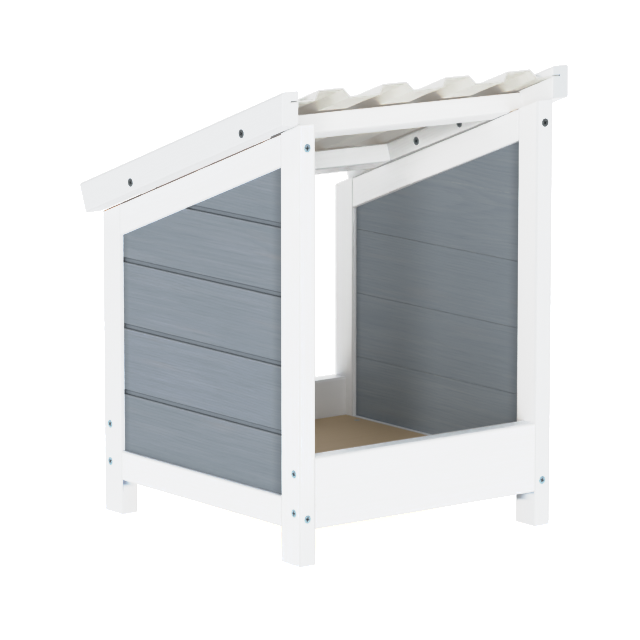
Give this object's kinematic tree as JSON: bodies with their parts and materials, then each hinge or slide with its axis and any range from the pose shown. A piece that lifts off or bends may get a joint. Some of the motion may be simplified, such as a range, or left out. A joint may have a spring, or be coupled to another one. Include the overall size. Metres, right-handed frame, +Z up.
{
  "type": "nesting box",
  "caption": "Free-standing nesting box for hens: two boarded timber side frames, low front and rear boards, a floor, and a sloping ribbed sheet that slides in grooves in the roof frame.",
  "frame": {"origin": "centre of the whole object's footprint, on the ground under the feet", "axes": "+X to the right as seen from the open front, +Y to the rear (the low side of the roof), +Z up"},
  "size_m": [0.422, 0.404, 0.5508],
  "materials": {
    "white_timber": "satin white paint",
    "stained_boards": "semi-transparent grey-blue stain over softwood grain",
    "raw_timber": "planed, unpainted",
    "floor_panel": "sanded plywood",
    "roof_sheet": "semi-matt off-white",
    "screws": "bright zinc plate"
  },
  "bodies": {
    "box": {"left_front_post": "white_timber", "left_rear_post": "white_timber", "left_top_rail": "white_timber", "left_bottom_rail": "white_timber", "left_board_1": "stained_boards", "left_board_2": "stained_boards", "left_board_3": "stained_boards", "left_board_4": "stained_boards", "right_front_post": "white_timber", "right_rear_post": "white_timber", "right_top_rail": "white_timber", "right_bottom_rail": "white_timber", "right_board_1": "stained_boards", "right_board_2": "stained_boards", "right_board_3": "stained_boards", "right_board_4": "stained_boards", "front_board": "white_timber", "rear_board": "white_timber", "floor_panel": "floor_panel", "left_floor_batten": "raw_timber", "right_floor_batten": "raw_timber", "left_barge_board": "white_timber", "right_barge_board": "white_timber", "front_roof_rail": "white_timber", "rear_roof_rail": "white_timber", "left_roof_batten": "white_timber", "right_roof_batten": "white_timber", "frame_screws": "screws", "board_screws": "screws", "barge_screws": "screws", "roof_batten_screws": "screws", "roof_fixing_screws": "screws", "floor_batten_screws": "screws", "floor_screws": "screws"},
    "sheet": {"roof_sheet": "roof_sheet"}
  },
  "joints": [
    {"name": "roof_sheet_slide", "type": "slide", "parent": "box", "child": "sheet", "axis": [0, -0.9367, 0.3502], "range_m": [0, 0.4]}
  ]
}
